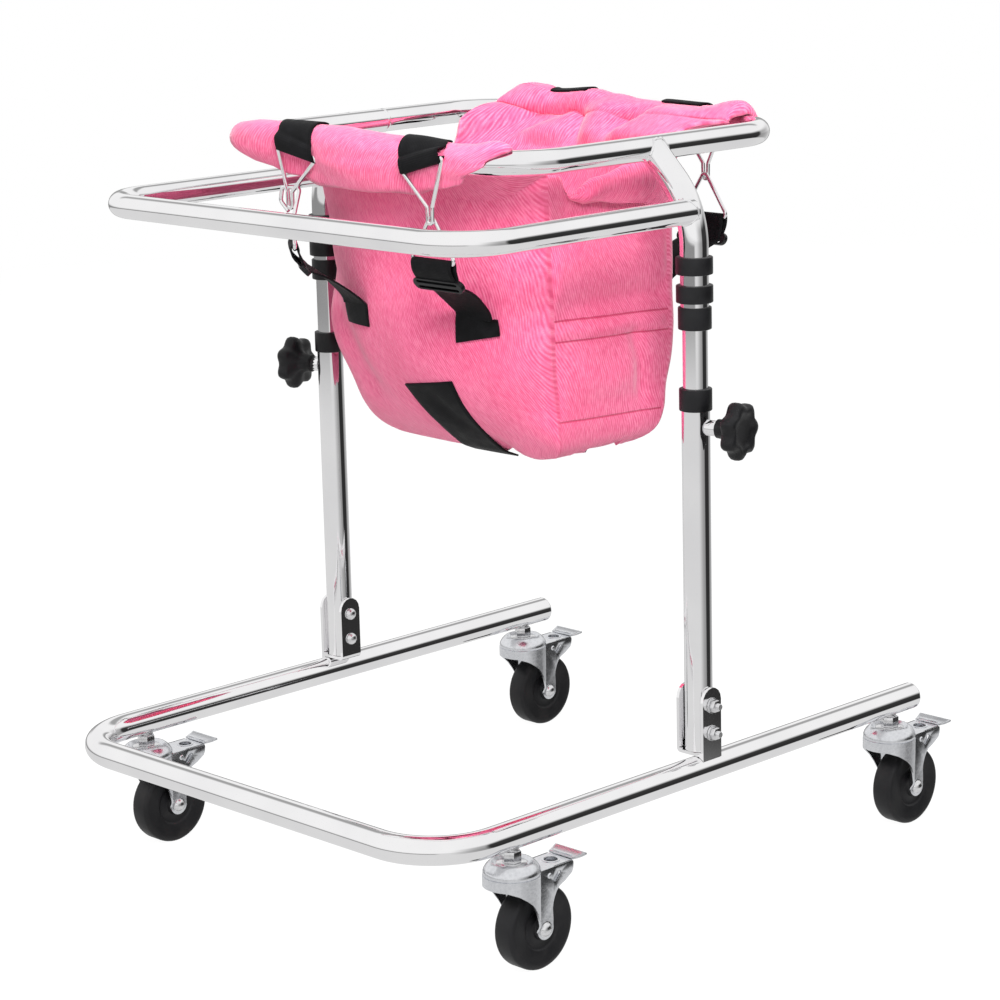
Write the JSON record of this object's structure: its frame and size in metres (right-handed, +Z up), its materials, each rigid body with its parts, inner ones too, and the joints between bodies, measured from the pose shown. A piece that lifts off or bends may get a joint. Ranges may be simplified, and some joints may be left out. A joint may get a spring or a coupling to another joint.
{
  "type": "pediatric walker",
  "caption": "Chromed walking frame for a small child: U base on braked swivel casters, telescoping uprights, front handlebar and a hanging cloth seat with leg holes.",
  "frame": {"origin": "on the floor, under the middle of the bounding box", "axes": "+X to the walker's right seen from its front handlebar, -Y towards the handlebar and the closed front of the base, +Y towards the base's open end, +Z up"},
  "size_m": [0.5844, 0.679, 0.697],
  "materials": {
    "chrome": "polished chrome plate on steel tube",
    "zinc_plate": "bright zinc plate on pressed steel",
    "bright_steel": "plated steel fasteners and wire",
    "black_rubber": "solid black rubber, satin",
    "black_plastic": "moulded, slightly glossy",
    "pink_cloth": "ribbed pink cloth, padded",
    "black_webbing": "woven black webbing"
  },
  "bodies": {
    "base": {"base_frame": "chrome", "rail_end_plug_left": "chrome", "rail_end_plug_right": "chrome", "bracket_left": "chrome", "bracket_bolt_left_lower": "bright_steel", "bracket_bolt_left_upper": "bright_steel", "lower_tube_left": "chrome", "lower_tube_bush_left": "black_plastic", "bracket_right": "chrome", "bracket_bolt_right_lower": "bright_steel", "bracket_bolt_right_upper": "bright_steel", "lower_tube_right": "chrome", "lower_tube_bush_right": "black_plastic", "caster_stem_front_left": "bright_steel", "caster_stem_front_right": "bright_steel", "caster_stem_rear_left": "bright_steel", "caster_stem_rear_right": "bright_steel"},
    "upper_frame": {"handlebar": "chrome", "upper_ring": "chrome", "sling_seat": "pink_cloth", "leg_tube_left": "chrome", "inner_tube_left": "chrome", "leg_sleeve_left": "black_plastic", "stop_ring_left_lower": "black_plastic", "stop_ring_left_upper": "black_plastic", "leg_tube_right": "chrome", "inner_tube_right": "chrome", "leg_sleeve_right": "black_plastic", "stop_ring_right_lower": "black_plastic", "stop_ring_right_upper": "black_plastic", "snap_hook_front_left": "bright_steel", "strap_ring_front_left": "bright_steel", "lower_strap_front_left": "black_webbing", "snap_hook_front_right": "bright_steel", "strap_ring_front_right": "bright_steel", "lower_strap_front_right": "black_webbing", "snap_hook_rear_left": "bright_steel", "strap_ring_rear_left": "bright_steel", "lower_strap_rear_left": "black_webbing", "snap_hook_rear_right": "bright_steel", "strap_ring_rear_right": "bright_steel", "lower_strap_rear_right": "black_webbing"},
    "knob_left": {"clamp_knob_left": "black_plastic"},
    "knob_right": {"clamp_knob_right": "black_plastic"},
    "swivel_front_left": {"caster_fork_front_left": "zinc_plate", "caster_axle_front_left": "bright_steel"},
    "wheel_front_left": {"caster_wheel_front_left": "black_rubber"},
    "brake_front_left": {"caster_brake_front_left": "zinc_plate"},
    "swivel_front_right": {"caster_fork_front_right": "zinc_plate", "caster_axle_front_right": "bright_steel"},
    "wheel_front_right": {"caster_wheel_front_right": "black_rubber"},
    "brake_front_right": {"caster_brake_front_right": "zinc_plate"},
    "swivel_rear_left": {"caster_fork_rear_left": "zinc_plate", "caster_axle_rear_left": "bright_steel"},
    "wheel_rear_left": {"caster_wheel_rear_left": "black_rubber"},
    "brake_rear_left": {"caster_brake_rear_left": "zinc_plate"},
    "swivel_rear_right": {"caster_fork_rear_right": "zinc_plate", "caster_axle_rear_right": "bright_steel"},
    "wheel_rear_right": {"caster_wheel_rear_right": "black_rubber"},
    "brake_rear_right": {"caster_brake_rear_right": "zinc_plate"}
  },
  "joints": [
    {"name": "height_slide", "type": "slide", "parent": "base", "child": "upper_frame", "axis": [0, 0, 1], "range_m": [-0.05, 0.12]},
    {"name": "clamp_knob_turn_left", "type": "hinge", "parent": "base", "child": "knob_left", "pos_m": [-0.24, 0.005, 0.433], "axis": [-0.9781, -0.2079, 0], "range_deg": [0, 720]},
    {"name": "clamp_knob_turn_right", "type": "hinge", "parent": "base", "child": "knob_right", "pos_m": [0.24, 0.005, 0.433], "axis": [0.9781, 0.2079, 0], "range_deg": [0, 720]},
    {"name": "caster_swivel_front_left", "type": "hinge", "parent": "base", "child": "swivel_front_left", "pos_m": [-0.247, -0.239, 0], "axis": [0, 0, 1], "continuous": true},
    {"name": "wheel_spin_front_left", "type": "hinge", "parent": "swivel_front_left", "child": "wheel_front_left", "pos_m": [-0.247, -0.215, 0.0375], "axis": [1, 0, 0], "continuous": true},
    {"name": "brake_press_front_left", "type": "hinge", "parent": "swivel_front_left", "child": "brake_front_left", "pos_m": [-0.247, -0.209, 0.0835], "axis": [-1, 0, 0], "range_deg": [0, 8]},
    {"name": "caster_swivel_front_right", "type": "hinge", "parent": "base", "child": "swivel_front_right", "pos_m": [0.247, -0.239, 0], "axis": [0, 0, 1], "continuous": true},
    {"name": "wheel_spin_front_right", "type": "hinge", "parent": "swivel_front_right", "child": "wheel_front_right", "pos_m": [0.247, -0.215, 0.0375], "axis": [1, 0, 0], "continuous": true},
    {"name": "brake_press_front_right", "type": "hinge", "parent": "swivel_front_right", "child": "brake_front_right", "pos_m": [0.247, -0.209, 0.0835], "axis": [-1, 0, 0], "range_deg": [0, 8]},
    {"name": "caster_swivel_rear_left", "type": "hinge", "parent": "base", "child": "swivel_rear_left", "pos_m": [-0.247, 0.268, 0], "axis": [0, 0, 1], "continuous": true},
    {"name": "wheel_spin_rear_left", "type": "hinge", "parent": "swivel_rear_left", "child": "wheel_rear_left", "pos_m": [-0.247, 0.292, 0.0375], "axis": [1, 0, 0], "continuous": true},
    {"name": "brake_press_rear_left", "type": "hinge", "parent": "swivel_rear_left", "child": "brake_rear_left", "pos_m": [-0.247, 0.298, 0.0835], "axis": [-1, 0, 0], "range_deg": [0, 8]},
    {"name": "caster_swivel_rear_right", "type": "hinge", "parent": "base", "child": "swivel_rear_right", "pos_m": [0.247, 0.268, 0], "axis": [0, 0, 1], "continuous": true},
    {"name": "wheel_spin_rear_right", "type": "hinge", "parent": "swivel_rear_right", "child": "wheel_rear_right", "pos_m": [0.247, 0.292, 0.0375], "axis": [1, 0, 0], "continuous": true},
    {"name": "brake_press_rear_right", "type": "hinge", "parent": "swivel_rear_right", "child": "brake_rear_right", "pos_m": [0.247, 0.298, 0.0835], "axis": [-1, 0, 0], "range_deg": [0, 8]}
  ]
}
